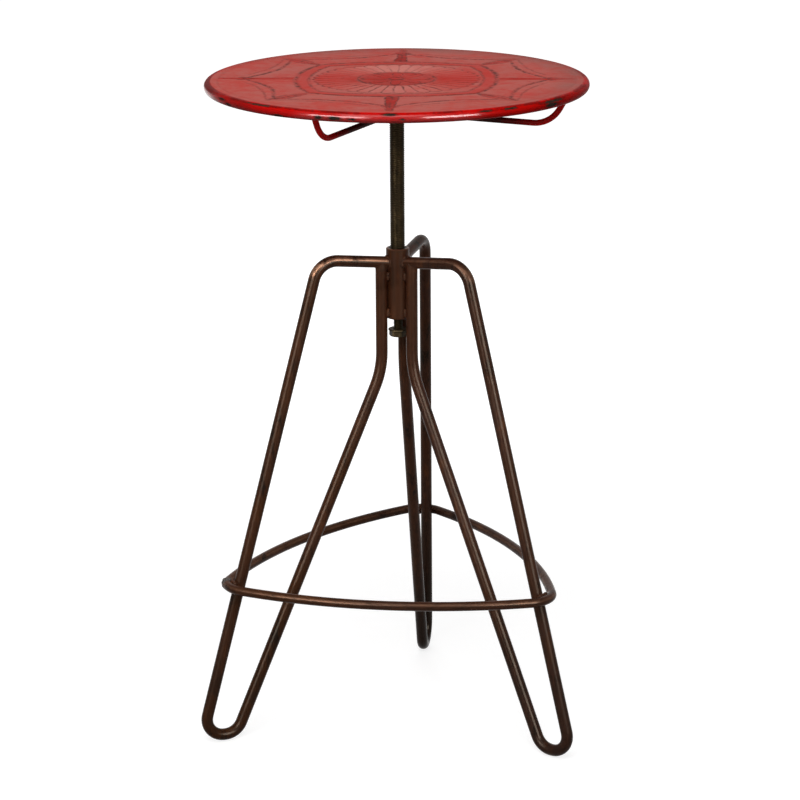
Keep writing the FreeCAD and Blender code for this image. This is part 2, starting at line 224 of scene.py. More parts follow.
class RodSettings(bpy.types.PropertyGroup):
    """The lacquered rods, the painted braces and their welds."""

    lacquer: tint("Lacquer", "Brown lacquer of the frame", (0.064, 0.0205, 0.0062))
    lacquer_faded: tint("Faded lacquer", "Where the lacquer has faded", (0.060, 0.0245, 0.0160))
    # Also used for the darkening low down, with painted shade at the back.
    lacquer_thick_and_shade: tint("Thick lacquer", "Where the lacquer lies thick", (0.015, 0.0075, 0.005))
    # Also lightens the sleeve and risers near the axis, as painted light.
    rubbed: tint("Rubbed lacquer", "Where the lacquer is rubbed thin", (0.137, 0.044, 0.015))
    # Also the painted highlight on the upper sides of the bars and the ring, and on the sleeve's top edge.
    copper: tint("Copper", "Where the lacquer is rubbed through", (0.390, 0.208, 0.128))
    scuffed: tint("Scuffed feet", "Bare steel under the feet", (0.11, 0.095, 0.085))
    brace_paint: tint("Brace paint", "Dark paint of the braces", (0.026, 0.006, 0.004))
    brace_thin: tint("Thin brace paint", "Where that paint is thin", (0.050, 0.010, 0.007))
    brace_rubbed: tint("Rubbed braces", "Where that paint is rubbed off", (0.10, 0.045, 0.03))
    scale_dark: tint("Dark scale", "Hollows of the ring's weld", (0.020, 0.015, 0.013))
    scale_pale: tint("Pale scale", "Crust of the ring's weld", (0.085, 0.070, 0.062))
    bead: span("Weld bead", "Half width of a weld bead", 2.0 * MM)


class StageSettings(bpy.types.PropertyGroup):
    """Floor, lamps and camera."""

    floor: tint("Floor", "Floor that throws light on the table", (0.45, 0.45, 0.45))
    shadow: tint("Shadow floor", "Floor that takes the table's shadow", (0.34, 0.34, 0.34))
    glow: tint("Glow", "Brightness of the floor near the table", (0.80, 0.80, 0.80))
    left: watts("Left gleam", "Power of the left lamp, which shows only in gloss", 180.0)
    right: watts("Right gleam", "Power of the right lamp, which shows only in gloss", 228.0)
    overhead: watts("Overhead softbox", "Power of the upper lamp", 56.0)
    back: watts("Back softbox", "Power of the lamp behind", 32.0)
    ambient: FloatProperty(name="Ambient", description="Light from all round", default=0.15, min=0.0, max=1.0)
    lens: FloatProperty(name="Lens", description="Focal length", unit="CAMERA", default=135.63)


def operator_for(operation, reflected=False):
    """An operator of a wire, which adds a Math node."""

    def apply(self, other):
        terms = (other, self) if reflected else (self, other)
        return self.finish.sum_of(operation, *terms)

    return apply


class Wire:
    """A socket of a finish that takes part in Python sums."""

    def __init__(self, finish, socket):
        self.finish = finish
        self.socket = socket

    __add__ = operator_for("ADD")
    __radd__ = operator_for("ADD", reflected=True)
    __sub__ = operator_for("SUBTRACT")
    __rsub__ = operator_for("SUBTRACT", reflected=True)
    __mul__ = operator_for("MULTIPLY")
    __rmul__ = operator_for("MULTIPLY", reflected=True)
    __truediv__ = operator_for("DIVIDE")
    __rtruediv__ = operator_for("DIVIDE", reflected=True)


def socket_of(sockets, key):
    """The socket with that place, name or identifier."""
    if isinstance(key, int):
        return sockets[key]
    return next(socket for socket in sockets if key in (socket.identifier, socket.name))


class Sums:
    """Masks that are drawn alike in a finish and on plain arrays."""

    def fall(self, low, high, value):
        """Falls smoothly from 1 at low to 0 at high."""
        return 1 - self.step(low, high, value)

    def between(self, low, high, soft, value):
        """1 between low and high, fading to 0 within a soft edge at both ends."""
        return self.step(low, low + soft, value) * self.fall(high - soft, high, value)

    def line(self, away, width):
        """1 in a line of that half width, fading to 0 on both sides of it."""
        return self.fall(width * 0.1, width * 2.4, self.absolute(away))

    def strongest(self, *masks):
        """The highest of several masks, point by point."""
        return reduce(self.most, masks)


class Finish(Sums):
    """A node tree under construction, with the sums that the rosette is drawn with."""

    def __init__(self, tree):
        self.tree = tree
        self.tree.nodes.clear()

    def node(self, kind, settings, sockets, out=0):
        """Adds a node, sets it, feeds its sockets and gives one of its outputs."""
        made = self.tree.nodes.new(kind)
        for key, value in settings.items():
            setattr(made, key, value)
        for key, value in sockets.items():
            socket = socket_of(made.inputs, key)
            if isinstance(value, Wire):
                self.tree.links.new(value.socket, socket)
            elif socket.type == "RGBA" and len(value) == 3:
                socket.default_value = (*value, 1.0)
            else:
                socket.default_value = value
        if not made.outputs:
            return None
        return Wire(self, socket_of(made.outputs, out))

    def sum_of(self, operation, *terms):
        """A Math node over values and wires."""
        return self.node("ShaderNodeMath", {"operation": operation}, dict(enumerate(terms)))

    absolute = partialmethod(sum_of, "ABSOLUTE")
    least = partialmethod(sum_of, "MINIMUM")
    most = partialmethod(sum_of, "MAXIMUM")
    root = partialmethod(sum_of, "SQRT")
    sine = partialmethod(sum_of, "SINE")
    cosine = partialmethod(sum_of, "COSINE")
    bearing = partialmethod(sum_of, "ARCTAN2")
    fold = partialmethod(sum_of, "PINGPONG")

    def step(self, low, high, value):
        """Rises smoothly from 0 at low to 1 at high."""
        sockets = {"Value": value, "From Min": low, "From Max": high}
        return self.node("ShaderNodeMapRange", {"interpolation_type": "SMOOTHSTEP"}, sockets)

    def noise(self, place, scale, detail, roughness, distortion=0.0):
        """A cloudy pattern, mostly between 0.3 and 0.7."""
        sockets = {"Vector": place, "Scale": scale, "Detail": detail, "Roughness": roughness}
        return self.node("ShaderNodeTexNoise", {}, {**sockets, "Distortion": distortion}, "Fac")

    def blend(self, share, first, second):
        """Mixes two colours."""
        sockets = {"Factor_Float": share, "A_Color": first, "B_Color": second}
        return self.node("ShaderNodeMix", {"data_type": "RGBA"}, sockets, "Result_Color")

    def coats(self, colour, *laid):
        """Lays colours over a first one, each as thickly as its share says."""
        for share, paint in laid:
            colour = self.blend(share, colour, paint)
        return colour

    def place(self):
        """The point on the piece, in metres, which moves with the piece."""
        return self.node("ShaderNodeTexCoord", {}, {}, "Object")

    def measured_place(self):
        """That point, its three numbers, and its reach from the spindle's axis."""
        point = self.place()
        x, y, z = self.parts_of(point)
        return point, x, y, z, self.root(x * x + y * y)

    def parts_of(self, vector):
        """The three numbers of a vector."""
        return [self.node("ShaderNodeSeparateXYZ", {}, {"Vector": vector}, axis) for axis in "XYZ"]

    def point(self, x, y, z):
        """A vector of three numbers."""
        return self.node("ShaderNodeCombineXYZ", {}, {"X": x, "Y": y, "Z": z})

    def bump(self, height, distance):
        """A surface direction that shows a height too fine for the mesh."""
        return self.node("ShaderNodeBump", {}, {"Height": height, "Distance": distance})

    def surface(self, **sockets):
        """Ends a material in one principled shader."""
        named = {key.replace("_", " ").title().replace("Ior", "IOR"): value for key, value in sockets.items()}
        shader = self.node("ShaderNodeBsdfPrincipled", {}, named)
        self.node("ShaderNodeOutputMaterial", {}, {"Surface": shader})


class Arrays(Sums):
    """The same sums on plain arrays, for the mesh."""

    absolute = staticmethod(np.abs)
    least = staticmethod(np.minimum)
    most = staticmethod(np.maximum)
    root = staticmethod(np.sqrt)
    sine = staticmethod(np.sin)
    cosine = staticmethod(np.cos)
    bearing = staticmethod(np.arctan2)

    @staticmethod
    def fold(value, reach):
        """Runs from 0 up to reach and back again, over and over."""
        return reach - np.abs(np.mod(value, 2 * reach) - reach)

    @staticmethod
    def step(low, high, value):
        share = np.clip((value - low) / (high - low), 0, 1)
        return share * share * (3 - 2 * share)


def new_finish(name):
    """A new material and the finish that is built in it."""
    material = bpy.data.materials.new(name)
    material.use_nodes = True
    return material, Finish(material.node_tree)


def rosette(sums, x, y):
    """The pressed ornament at a point of the face.

    Gives its lines, raised fields, red fields and worn fields, each from 0 to 1.
    """
    out = sums.root(x * x + y * y) / TOP_RADIUS
    turn = sums.bearing(y, x) - ROSETTE_BEARING
    eighth = sums.fold(turn, EIGHTH_TURN)
    share = eighth / EIGHTH_TURN
    along = out * sums.cosine(eighth)
    across = out * sums.sine(eighth)
    across_diagonal = out * sums.sine(EIGHTH_TURN - eighth)
    sideways = sums.cosine(turn) * sums.cosine(turn)
    endways = 1 - sideways

    frame_out = out - FRAME_POINT * share * share
    frame_inside = sums.line(frame_out - FRAME_INSIDE, LINE * 0.8)
    frame_outside = sums.line(frame_out - FRAME_OUTSIDE, LINE * 1.1)
    in_frame = sums.between(FRAME_INSIDE, FRAME_OUTSIDE, 0.006, frame_out)
    border = sums.line(out - BORDER, LINE * 0.7)

    past_frame = sums.step(FRAME_OUTSIDE + 0.008, FRAME_OUTSIDE + 0.018, frame_out)
    outside = past_frame * sums.fall(BORDER - 0.005, BORDER + 0.005, out)
    axis_line = sums.line(across, LINE * 0.9) * outside * (0.50 + 0.50 * endways)
    band_width = BAND_WIDTH * (1.25 - out)
    band_edge = sums.line(across - band_width, LINE * 0.6) * outside * (0.45 + 0.55 * endways)
    in_band = sums.fall(-0.003, 0.003, across - band_width) * outside
    knot_share = sums.absolute(along - KNOT_OUT) / KNOT_LENGTH + across / KNOT_WIDTH
    knot = sums.line((knot_share - 1) * 0.036, LINE * 0.9)
    in_knot = sums.fall(0.9, 1.0, knot_share)
    lobe_out = 0.800 - 0.460 * share + 0.490 * share * share
    lobe = sums.line(out - lobe_out, LINE)
    second_lobe = sums.line(out - lobe_out - 0.055, LINE * 0.7) * sums.step(0.12, 0.25, share)

    leaf_end = LEAF_START + LEAF_LENGTH
    leaf_run = sums.least(sums.most(out - LEAF_START, 0), LEAF_LENGTH)
    leaf_width = LEAF_WIDTH * sums.sine(leaf_run * LEAF_BOW)
    on_leaf = sums.between(LEAF_START, leaf_end, 0.01, out)
    leaf = sums.line(across_diagonal - leaf_width, LINE * 0.9) * on_leaf
    in_leaf = sums.fall(-0.003, 0.003, across_diagonal - leaf_width) * on_leaf
    on_vein = sums.between(LEAF_START - 0.02, leaf_end + 0.02, 0.02, out)
    vein = sums.line(across_diagonal, LINE * 0.8) * on_vein

    petal = sums.fold(turn, PETAL_TURN)
    petal_share = petal / PETAL_TURN
    petal_arch = sums.root(sums.most(1 - (1 - petal_share) * (1 - petal_share), 0.0001))
    petal_end = FAN_END + PETAL_TIP * petal_arch
    in_fan = sums.step(FAN_START, FAN_START + 0.008, out) * sums.fall(0.0, 0.006, out - petal_end)
    petal_edge = sums.line(out * sums.sine(petal), LINE * 0.42) * in_fan
    scallop = sums.line(out - petal_end, LINE * 0.7)
    dome = in_fan * sums.sine(petal_share * (math.pi / 2))

    flower_out = FLOWER_REACH * sums.absolute(sums.cosine(4 * turn))
    flower = sums.line(out - flower_out, LINE * 1.3) * sums.step(0.035, 0.05, out)
    flower_ring = sums.line(out - FAN_START, LINE)
    flower_eye = sums.line(out - FLOWER_EYE, LINE)
    in_flower = sums.fall(-0.004, 0.004, out - flower_out)
    in_middle = sums.fall(FAN_START - 0.010, FAN_START + 0.005, out)

    lines = sums.strongest(
        frame_inside * 0.8, frame_outside, border * 0.20,
        axis_line, band_edge, in_band * endways * 0.64, knot * 0.8, lobe, second_lobe * 0.5,
        leaf * 0.7, vein, petal_edge * (0.72 - 0.28 * sums.sine(turn)), scallop * 0.8,
        flower, flower_ring, flower_eye, in_middle * 0.34,
    )
    raised = sums.strongest(dome, in_flower, in_knot, in_frame * 0.6)
    reds = sums.strongest(
        in_band, in_knot, in_frame * 0.60, in_leaf * 0.60,
        in_flower * 0.85, in_middle * 0.70, in_fan * 0.70 * sideways,
    )
    worn = in_fan * endways
    return lines, raised, reds, worn


def chip_nearness(rows, tilts):
    """How near each point is to the middle of a chip: 1 there, 0 at its edge, and less outside."""
    bearings = np.degrees(np.arctan2(rows[:, :, 1], rows[:, :, 0]))
    best = np.full(bearings.shape, FAR_FROM_CHIPS)
    for middle, slope, half_length, half_height in RIM_CHIPS:
        round_the_rim = (bearings - middle + 180) % 360 - 180
        reach = np.hypot(round_the_rim / half_length, (tilts[:, None] - slope) / half_height)
        best = np.maximum(best, 1 - reach)
    return best


def skin(rows, ring=False, first_cap=None, last_cap=None):
    """Points and faces of a skin over rows of points that each go once round."""
    count, columns = rows.shape[:2]
    points = [tuple(p) for p in rows.reshape(-1, 3)]
    faces = []
    for row in range(count if ring else count - 1):
        here = row * columns
        there = (row + 1) % count * columns
        for column in range(columns):
            after = (column + 1) % columns
            faces.append((here + column, here + after, there + after, there + column))
    for cap, row in ((first_cap, 0), (last_cap, count - 1)):
        if cap is None:
            continue
        middle = len(points)
        points.append(tuple(cap))
        start = row * columns
        for column in range(columns):
            faces.append((start + column, start + (column + 1) % columns, middle))
    return points, faces


def new_object(name, data):
    """A new object in the scene."""
    made = bpy.data.objects.new(name, data)
    bpy.context.scene.collection.objects.link(made)
    return made


def piece(name, skins, material, body, sharp=40.0):
    """Makes one object of several skins, and lets it ride on a body."""
    points = []
    faces = []
    for more_points, more_faces in skins:
        offset = len(points)
        points.extend(more_points)
        faces.extend(tuple(offset + corner for corner in face) for face in more_faces)
    mesh = bpy.data.meshes.new(name)
    mesh.from_pydata(points, [], faces)
    work = bmesh.new()
    work.from_mesh(mesh)
    bmesh.ops.recalc_face_normals(work, faces=work.faces)
    work.to_mesh(mesh)
    work.free()
    mesh.shade_smooth()
    mesh.set_sharp_from_angle(angle=math.radians(sharp))
    mesh.materials.append(material)
    made = new_object(name, mesh)
    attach(made, body)
    return made


def dress(nodes, material):
    """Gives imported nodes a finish."""
    for node in nodes:
        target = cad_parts[node]
        if not target.material_slots:
            raise RuntimeError(f"{node} has no material slot")
        for held in target.material_slots:
            held.material = material


def angles_round(columns):
    """Evenly spaced angles, once round."""
    return np.arange(columns) * FULL_TURN / columns


def lathe(profile, columns):
    """Rows of points from pairs of reach and height, turned about the spindle's axis.

    A reach is one number, or one for each column.
    """
    angles = angles_round(columns)
    rows = []
    for reach, height in profile:
        level = np.full(columns, height)
        rows.append(np.stack([reach * np.cos(angles), reach * np.sin(angles), level], axis=1))
    return np.array(rows)


def roll_profile(radius, tilts):
    """Pairs of reach and height round the section of the rolled rim."""
    angles = np.radians(tilts)
    return list(zip(ROLL_REACH + radius * np.cos(angles), ROLL_HEIGHT + radius * np.sin(angles)))


def threaded_rows(radius, depth, pitch, low, high, chamfer, columns):
    """Rows of a right-hand thread between two heights, chamfered at both ends."""
    rows_per_turn = 6
    count = int(round((high - low) / pitch * rows_per_turn))
    turned = angles_round(columns) / FULL_TURN
    profile = []
    for height in np.linspace(low, high, count + 1):
        phase = np.mod((height - low) / pitch - turned, 1.0)
        flank = np.clip(np.abs(phase - 0.5) * 3.2 - 0.35, 0, 1)
        limit = radius - chamfer + min(height - low, high - height)
        profile.append((np.minimum(radius - depth * (1 - flank), limit), height))
    return lathe(profile, columns)


def bead(points, width, seed, closed=False):
    """A weld bead along points: a lumpy tube with the ripples of its laying."""
    spacing = 0.55 * MM
    ripple = 2.4 * MM
    angles = angles_round(10)
    path = np.array(points, float)
    if closed:
        path = np.vstack([path, path[:1]])
    steps = np.linalg.norm(np.diff(path, axis=0), axis=1)
    run = np.concatenate([[0], np.cumsum(steps)])
    length = run[-1]
    count = max(6, int(length / spacing))
    at = np.linspace(0, length, count, endpoint=not closed)
    line = np.stack([np.interp(at, run, path[:, axis]) for axis in range(3)], axis=1)
    if closed:
        ahead = np.roll(line, -1, axis=0) - np.roll(line, 1, axis=0)
    else:
        ahead = np.gradient(line, axis=0)
    ahead /= np.linalg.norm(ahead, axis=1)[:, None]
    draws = np.random.default_rng(seed)
    ripples = int(length / ripple) + 3
    lumps = draws.uniform(0.85, 1.15, ripples)
    shifts = draws.uniform(-0.12, 0.12, (ripples, 3))
    rows = []
    side = np.cross(ahead[0], [0.31, 0.17, 0.93])
    for index in range(count):
        number = at[index] / ripple
        whole = int(number)
        arch = math.sqrt(max(0.0, 1 - (2 * (number - whole) - 1) ** 2))
        swell = width * lumps[whole] * (0.80 + 0.22 * arch)
        if not closed:
            end = min(at[index], length - at[index]) / width
            swell *= math.sqrt(max(0.05, 1 - (1 - min(1.0, end)) ** 2))
        side -= ahead[index] * (side @ ahead[index])
        side /= np.linalg.norm(side)
        other = np.cross(ahead[index], side)
        middle = line[index] + shifts[whole] * width
        rows.append(middle + swell * (np.cos(angles)[:, None] * side + np.sin(angles)[:, None] * other))
    rows = np.array(rows)
    if closed:
        return skin(rows, ring=True)
    return skin(rows, first_cap=rows[0].mean(axis=0), last_cap=rows[-1].mean(axis=0))


def polar(reach, height, bearing):
    """A point at a reach from the spindle's axis, a height and a bearing in degrees."""
    angle = math.radians(bearing)
    return Vector((reach * math.cos(angle), reach * math.sin(angle), height))


def loop(centre, first, second, count):
    """Points of an oval about a centre, from its two half axes."""
    return [centre + math.cos(angle) * first + math.sin(angle) * second for angle in angles_round(count)]


def post_seam(rod, post, start, ahead, count):
    """The line where a rod that runs ahead from a start meets a round post on the spindle's axis."""
    slope = math.atan2(ahead.z, ahead.x)
    line = []
    for angle in angles_round(count):
        across = rod * math.cos(angle)
        over = rod * math.sin(angle)
        reach = math.sqrt(post ** 2 - across ** 2)
        along = (reach + over * math.sin(slope) - start.x) / math.cos(slope)
        line.append(Vector((reach, across, start.z + ahead.z * along + over * math.cos(slope))))
    return line


def weld(name, skins, material, body):
    """Makes one object of several beads."""
    piece(name, skins, material, body, sharp=60.0)


def swing(bearing):
    """A turn about the spindle's axis by a bearing in degrees."""
    return Matrix.Rotation(math.radians(bearing), 3, "Z")


def red_enamel(settings):
    """Glossy on the rolled rim and chipped there, dulled and dirty on the face."""
    material, kit = new_finish("red_enamel")
    place, x, y, z, out = kit.measured_place()
    waver = kit.noise(place, 55, 3, 0.6) - 0.5
    sway = kit.noise(place, 47, 3, 0.6, 0.6) - 0.5
    cloud = kit.noise(place, 7, 3, 0.5)
    blotch = kit.noise(place, 22, 4, 0.6)
    mottled = kit.noise(place, 85, 4, 0.65)
    spots = kit.noise(place, 130, 3, 0.7)
    ragged = kit.noise(place, 210, 5, 0.65) - 0.5
    grit = kit.noise(place, 260, 3, 0.6)
    rise = z - ROLL_HEIGHT
    reach = out - ROLL_REACH
    stray = 5 * MM
    lines, _, reds, rubbed = rosette(kit, x + waver * stray, y + sway * stray)

    # The flat face inside the rolled rim.
    above = kit.step(TOP_HEIGHT - 1.0 * MM, TOP_HEIGHT - 0.7 * MM, z)
    face = above * kit.fall(-2.5 * MM, 0.5 * MM, reach)
    cloudy = kit.step(0.36, 0.62, cloud * 0.30 + blotch * 0.35 + mottled * 0.35)
    palest = 0.12 + 0.34 * cloudy + 0.50 * kit.step(-10 * MM, 40 * MM, y)
    worn = kit.coats(
        settings.face_red, (cloudy, settings.worn_enamel), (rubbed * palest, settings.rubbed_enamel_and_highlight)
    )
    patchy = kit.step(0.28, 0.62, blotch + waver * 0.5)
    smudge = kit.step(0.40, 0.58, blotch * 0.35 + mottled * 0.65 + (grit - 0.5) * 0.9)
    speck = kit.step(0.62, 0.74, spots) * kit.step(0.46, 0.62, blotch)
    far_side = kit.step(-80 * MM, 120 * MM, x * 0.64 + y * 0.77)
    film = far_side * kit.step(0.78 * TOP_RADIUS, 0.92 * TOP_RADIUS, out)

    # The rolled rim: painted shade at its two front ends, on its lower half and on the upper part of its left
    # end, a pale painted highlight low on its left end, and darker along the back edge.
    rim = 1 - face
    in_front = kit.step(80 * MM, 20 * MM, y)
    # Painted shade on the left and right front ends of the rim.
    left_front_shade = kit.between(-240 * MM, -108 * MM, 32 * MM, x)
    rim_end_shade = in_front * kit.most(left_front_shade, kit.step(150 * MM, 180 * MM, x)) * rim
    left_end = kit.step(10 * MM, -35 * MM, y) * kit.fall(-184 * MM, -160 * MM, x) * rim
    # The rim's left end: painted shade on its upper part, and a pale painted highlight on its lower part.
    left_shade = left_end * kit.step(1.0 * MM, 3.0 * MM, rise)
    left_painted_highlight = left_end * kit.fall(-0.5 * MM, 1.0 * MM, rise)
    far_edge = kit.step(TOP_RADIUS - 15 * MM, TOP_RADIUS - 6 * MM, out) * kit.step(10 * MM, 80 * MM, y)
    near_edge = kit.step(-2.5 * MM, -0.5 * MM, reach)
    crown = near_edge * kit.step(3.2 * MM, 4.4 * MM, rise)
    thinned = crown * kit.step(0.38, 0.56, blotch + ragged * 0.6)
    # Painted shade: the lower half of the rim is darkened.
    below = kit.fall(-4.8 * MM, -1.0 * MM, rise)

    # The chips, ragged, with bruised enamel round them.
    chip = kit.node("ShaderNodeAttribute", {"attribute_name": "chip"}, {}, "Fac")
    chipped = kit.step(0.05, 0.30, chip + ragged * 1.9)
    bruised = kit.step(-0.60, 0.15, chip + ragged * 1.4) * (1 - chipped)
    iron = kit.blend(kit.step(0.35, 0.65, grit), settings.bare_iron, settings.rust)

    colour = kit.coats(
        settings.enamel,
        (face, worn),
        (face * reds * (0.50 + 0.50 * patchy), settings.deep_red),
        (face * lines * (0.22 + 0.70 * smudge), settings.line_brown),
        (speck * 0.45, settings.line_brown),
        # Painted shade at the rim's two front ends.
        (rim_end_shade * (0.22 + 0.44 * blotch), settings.thin_enamel_and_shade),
        (left_shade * 0.85, settings.thin_enamel_and_shade),
        # A pale painted highlight low on the rim's left end.
        (left_painted_highlight * (0.20 + 0.70 * blotch), settings.rubbed_enamel_and_highlight),
        (face * film * (0.10 + 0.36 * blotch), settings.dust),
        (far_edge * (0.22 + 0.40 * blotch), settings.line_brown),
        (thinned * 0.75, settings.thin_enamel_and_shade),
        # Painted shade on the rim's lower half.
        (below * 0.65, settings.thin_enamel_and_shade),
        (bruised * 0.65, settings.thin_enamel_and_shade),
        (chipped, iron),
    )

    # The gloss is left in a few stretches of the rim.
    crest = kit.step(2.6 * MM, 4.4 * MM, rise)
    left_dull = kit.between(-184 * MM, -62 * MM, 24 * MM, x)
    right_dull = kit.step(92 * MM, 120 * MM, x)
    behind = kit.step(0.0, 60 * MM, y)
    dulled = kit.most(in_front * kit.most(left_dull * 0.86, right_dull * 0.98), behind * 0.73)
    glossy = (1 - chipped) * (1 - crest) * (1 - below) * (1 - dulled) * (1 - left_shade)
    height = face * lines * -0.4 + (grit - 0.5) * 0.14 - chipped * 0.8 + (blotch - 0.5) * 0.8
    kit.surface(
        base_color=colour,
        roughness=0.42 + 0.10 * face + 0.12 * (blotch - 0.5) + 0.30 * chipped,
        specular_ior_level=0.008,
        coat_weight=glossy * kit.most(0.45 + 0.55 * blotch, left_end),
        coat_ior=1.35,
        coat_roughness=0.14,
        normal=kit.bump(height, 0.25 * MM),
    )
    return material


def frame_lacquer(settings, name, grain):
    """Dark brown lacquer, rubbed through to copper along the rods, with copper on their upper sides that is
    both wear and a painted highlight.
    """
    material, kit = new_finish(name)
    place, x, y, z, out = kit.measured_place()
    upward = kit.parts_of(kit.node("ShaderNodeNewGeometry", {}, {}, "Normal"))[2]
    blotch = kit.noise(place, 34, 3, 0.55)
    patch = kit.noise(place, 9, 2, 0.5)
    fine = kit.noise(place, 700, 2, 0.6)
    roughness = 0.24
    if grain == "weld":
        streak = blotch
        painted_highlight_share = 0.0
        roughness = 0.46
    elif grain == "ring":
        lengthwise = kit.point(out * 6, kit.bearing(y, x) * 0.20, z * 6)
        streak = kit.noise(lengthwise, 26, 4, 0.62)
        # The ring's upper side takes the painted highlight too.
        painted_highlight_share = 0.24
    else:
        streak = kit.noise(kit.point(x, y, z * 0.09), 150, 4, 0.62)
        left = kit.step(0.0, -25 * MM, x)
        front = kit.step(15 * MM, 0.0, y)
        # Painted highlight: copper on the upper sides of the bars near the hub, strongest on the left front
        # bar.
        painted_highlight_share = kit.step(496 * MM, 512 * MM, z) * (0.08 + front * (0.36 + 0.56 * left))
    faded = 0.45 * kit.step(0.40, 0.62, patch) + 0.55 * kit.step(-90 * MM, 60 * MM, x)
    thick = kit.step(0.52, 0.66, 1 - streak * 0.6 - blotch * 0.4)
    rubbed = kit.step(0.50, 0.68, streak * 0.65 + blotch * 0.35) * (0.25 + 0.75 * kit.step(0.38, 0.60, patch))
    bared = kit.step(0.34, 0.54, streak * 0.4 + blotch * 0.6)
    # Copper on the upward faces, partly wear and partly a painted highlight.
    worn = kit.between(0.16, 0.86, 0.30, upward) * painted_highlight_share * bared
    # Copper round the sleeve's top edge, a painted highlight as well as wear.
    sleeve_lip = kit.step(530.6 * MM, 531.5 * MM, z) * kit.fall(13 * MM, 14 * MM, out)
    # Painted light: the sleeve and risers near the axis are lightened where the top shades them.
    painted_light_inmost = kit.fall(26 * MM, 40 * MM, out)
    # Darker towards the floor in patches, and painted shade low down at the back.
    back_leg_shade = kit.step(90 * MM, 190 * MM, y)
    darkening_share = 0.30 + 0.40 * kit.most(kit.step(0.40, 0.60, blotch), back_leg_shade * 1.6)
    darker_low = kit.fall(60 * MM, 240 * MM, z) * darkening_share
    scuffed = kit.fall(0.5 * MM, 6 * MM, z) * kit.step(0.35, 0.55, blotch)
    colour = kit.coats(
        settings.lacquer,
        (faded, settings.lacquer_faded),
        (thick, settings.lacquer_thick_and_shade),
        (rubbed * 0.70, settings.rubbed),
        # Copper: wear, and a painted highlight on the upper sides and on the sleeve's top edge.
        (kit.most(worn, sleeve_lip * 0.6) * 0.85, settings.copper),
        # Painted light on the sleeve and risers.
        (painted_light_inmost * 0.30, settings.rubbed),
        # Darker low down, with painted shade at the back.
        (darker_low, settings.lacquer_thick_and_shade),
        (scuffed, settings.scuffed),
    )
    kit.surface(
        base_color=colour,
        metallic=0.35 * worn + 0.3 * scuffed,
        roughness=roughness + 0.20 * (blotch - 0.5) + 0.08 * fine,
        specular_ior_level=0.05,
        specular_tint=(1.0, 0.86, 0.68),
        normal=kit.bump((fine - 0.5) * 0.25 + (streak - 0.5) * 0.5, 0.12 * MM),
    )
    return material


def brace_paint(settings, enamel):
    """Nearly black paint, with red that ran down from the rim."""
    material, kit = new_finish("brace_paint")
    place, _, _, _, out = kit.measured_place()
    blotch = kit.noise(place, 60, 3, 0.6)
    fine = kit.noise(place, 500, 3, 0.6)
    overspray = kit.step(112 * MM, 180 * MM, out + (blotch - 0.5) * (50 * MM))
    overspray_red = tuple(1.05 * channel + 0.006 for channel in enamel)
    rubbed = kit.step(0.64, 0.72, fine) * kit.step(0.5, 0.65, blotch)
    colour = kit.coats(
        settings.brace_paint,
        (blotch, settings.brace_thin),
        (overspray * 0.9, overspray_red),
        (rubbed * 0.5, settings.brace_rubbed),
    )
    kit.surface(
        base_color=colour,
        roughness=0.42 + 0.25 * (blotch - 0.5),
        specular_ior_level=0.01,
        normal=kit.bump((fine - 0.5) * 0.5 + (blotch - 0.5) * 0.5, 0.15 * MM),
    )
    return material


def oiled_steel(settings):
    """Dark steel under a film of old oil."""
    material, kit = new_finish("oiled_steel")
    place, x, y, z, out = kit.measured_place()
    drawn = kit.noise(kit.point(x, y, z * 0.1), 240, 3, 0.6)
    film = kit.noise(place, 45, 3, 0.6)
    fine = kit.noise(place, 900, 2, 0.6)
    crest = kit.step(7.5 * MM, 7.9 * MM, out) * kit.step(0.4, 0.6, drawn)
    oily = kit.step(0.35, 0.65, film)
    kit.surface(
        base_color=kit.coats(settings.steel, (oily, settings.oil), (crest * 0.30, settings.crest)),
        metallic=0.25 + 0.2 * crest,
        roughness=0.40 + 0.2 * (film - 0.5) + 0.1 * fine,
        specular_ior_level=0.017,
        normal=kit.bump((fine - 0.5) * 0.4 + (drawn - 0.5) * 0.5, 0.08 * MM),
    )
    return material


def weld_scale(settings):
    """Grey-brown scale on the crude weld that closes the ring."""
    material, kit = new_finish("weld_scale")
    place = kit.place()
    crust = kit.noise(place, 160, 4, 0.65)
    fine = kit.noise(place, 800, 2, 0.6)
    kit.surface(
        base_color=kit.blend(kit.step(0.35, 0.62, crust), settings.scale_dark, settings.scale_pale),
        metallic=0.3 * crust,
        roughness=0.45 + 0.25 * (crust - 0.5),
        specular_ior_level=0.12,
        normal=kit.bump(crust - 0.5 + (fine - 0.5) * 0.3, 0.3 * MM),
    )
    return material


def bright_wire(settings):
    """Plain drawn wire, hidden in the rim."""
    material, kit = new_finish("bright_wire")
    fine = kit.noise(kit.place(), 300, 3, 0.6)
    kit.surface(
        base_color=kit.blend(fine, settings.wire_dark, settings.wire_pale),
        metallic=1.0,
        roughness=0.30 + 0.2 * fine,
        normal=kit.bump(fine - 0.5, 0.05 * MM),
    )
    return material


